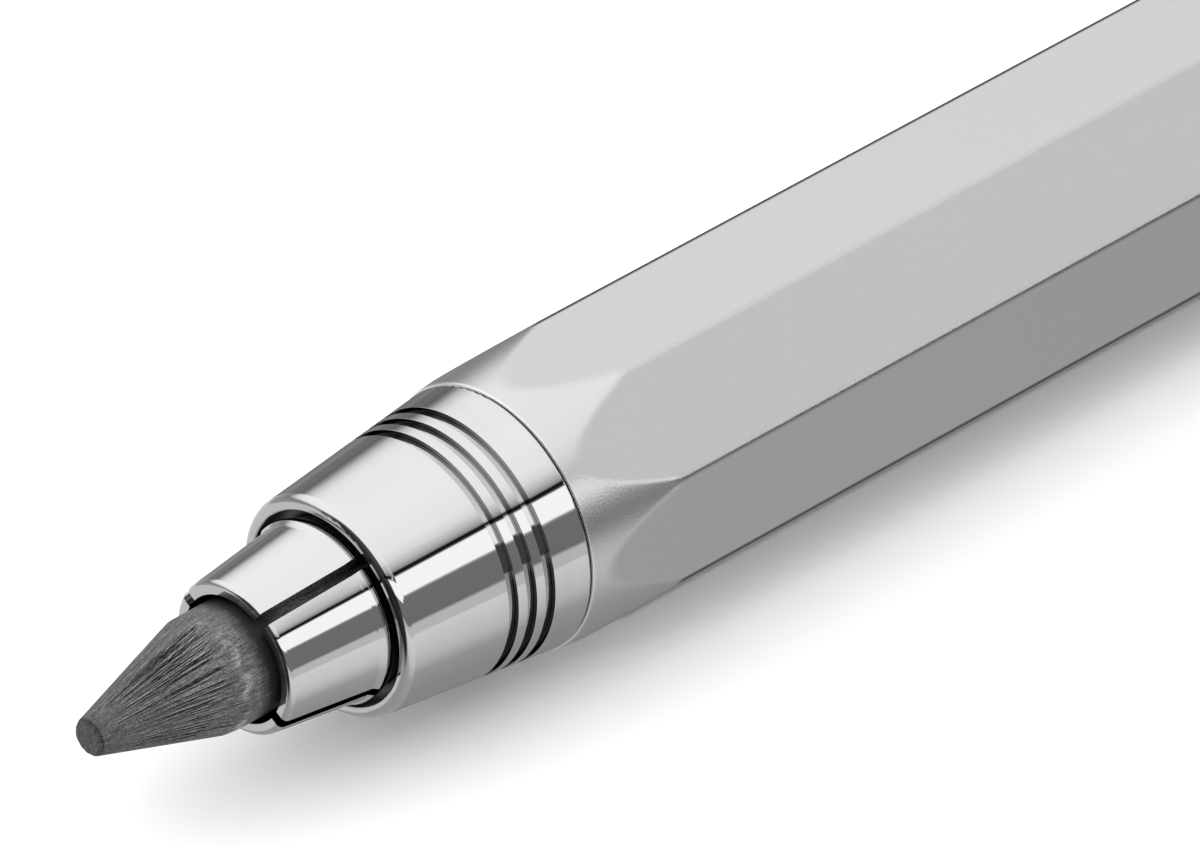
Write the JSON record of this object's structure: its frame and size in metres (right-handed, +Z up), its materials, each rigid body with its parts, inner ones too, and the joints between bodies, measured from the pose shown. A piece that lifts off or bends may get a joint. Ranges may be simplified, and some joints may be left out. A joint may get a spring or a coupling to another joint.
{
  "type": "lead holder",
  "caption": "Short thick lead holder with an octagonal satin metal barrel, a grooved polished nose, a split collet that clamps a sharpened graphite lead, and a push button.",
  "frame": {"origin": "centre of the footprint, on the flat that the barrel lies on", "axes": "+X along the pencil from the lead's tip towards the push button, +Z up, Y across"},
  "size_m": [0.1142, 0.0132, 0.0132],
  "materials": {
    "satin_chrome": "satin",
    "polished_chrome": "polished",
    "brass": "satin",
    "spring_steel": "satin",
    "graphite": "satin",
    "black_plastic": "matte",
    "black_rubber": "matte",
    "cast_alloy": "satin"
  },
  "bodies": {
    "barrel": {"barrel": "satin_chrome", "nose_cone": "polished_chrome", "front_bush": "brass", "front_spring_washer": "spring_steel", "rear_bush": "brass", "rear_ferrule": "polished_chrome", "clutch_spring": "spring_steel"},
    "carrier": {"collet_sleeve": "brass", "push_tube": "brass", "spring_collar": "brass", "rear_spring_washer": "spring_steel", "collar_clip": "spring_steel", "stop_ring": "brass"},
    "lead": {"lead": "graphite"},
    "button": {"push_button": "polished_chrome", "button_disc": "satin_chrome", "button_bush": "black_plastic", "button_o_ring": "black_rubber", "sharpener_body": "cast_alloy", "sharpener_blade": "spring_steel", "blade_screw": "spring_steel"},
    "jaw_1": {"collet_jaw_1": "polished_chrome"},
    "jaw_2": {"collet_jaw_2": "polished_chrome"},
    "jaw_3": {"collet_jaw_3": "polished_chrome"},
    "jaw_4": {"collet_jaw_4": "polished_chrome"}
  },
  "joints": [
    {"name": "push_clutch", "type": "slide", "parent": "barrel", "child": "carrier", "axis": [-1, 0, 0], "range_m": [0, 0.0045], "stiffness_N_per_m": 1500, "springref_m": -0.002, "deforming": ["clutch_spring"]},
    {"name": "jaw_1_open", "type": "hinge", "parent": "carrier", "child": "jaw_1", "pos_m": [-0.02693, 0.00068, 0.00973], "axis": [0, 0.9774, -0.2113], "range_deg": [0, 1.95]},
    {"name": "jaw_2_open", "type": "hinge", "parent": "carrier", "child": "jaw_2", "pos_m": [-0.02693, -0.00313, 0.00728], "axis": [0, 0.2113, 0.9774], "range_deg": [0, 1.95]},
    {"name": "jaw_3_open", "type": "hinge", "parent": "carrier", "child": "jaw_3", "pos_m": [-0.02693, -0.00068, 0.00347], "axis": [0, -0.9774, 0.2113], "range_deg": [0, 1.95]},
    {"name": "jaw_4_open", "type": "hinge", "parent": "carrier", "child": "jaw_4", "pos_m": [-0.02693, 0.00313, 0.00592], "axis": [0, -0.2113, -0.9774], "range_deg": [0, 1.95]},
    {"name": "lead_feed", "type": "slide", "parent": "carrier", "child": "lead", "axis": [-1, 0, 0], "range_m": [-0.01, 0.03]},
    {"name": "button_pull", "type": "slide", "parent": "carrier", "child": "button", "axis": [1, 0, 0], "range_m": [0, 0.025]}
  ],
  "couplings": [
    {"joint": "jaw_1_open", "follows": "push_clutch", "rad_per_m": 7.37},
    {"joint": "jaw_2_open", "follows": "push_clutch", "rad_per_m": 7.37},
    {"joint": "jaw_3_open", "follows": "push_clutch", "rad_per_m": 7.37},
    {"joint": "jaw_4_open", "follows": "push_clutch", "rad_per_m": 7.37}
  ]
}
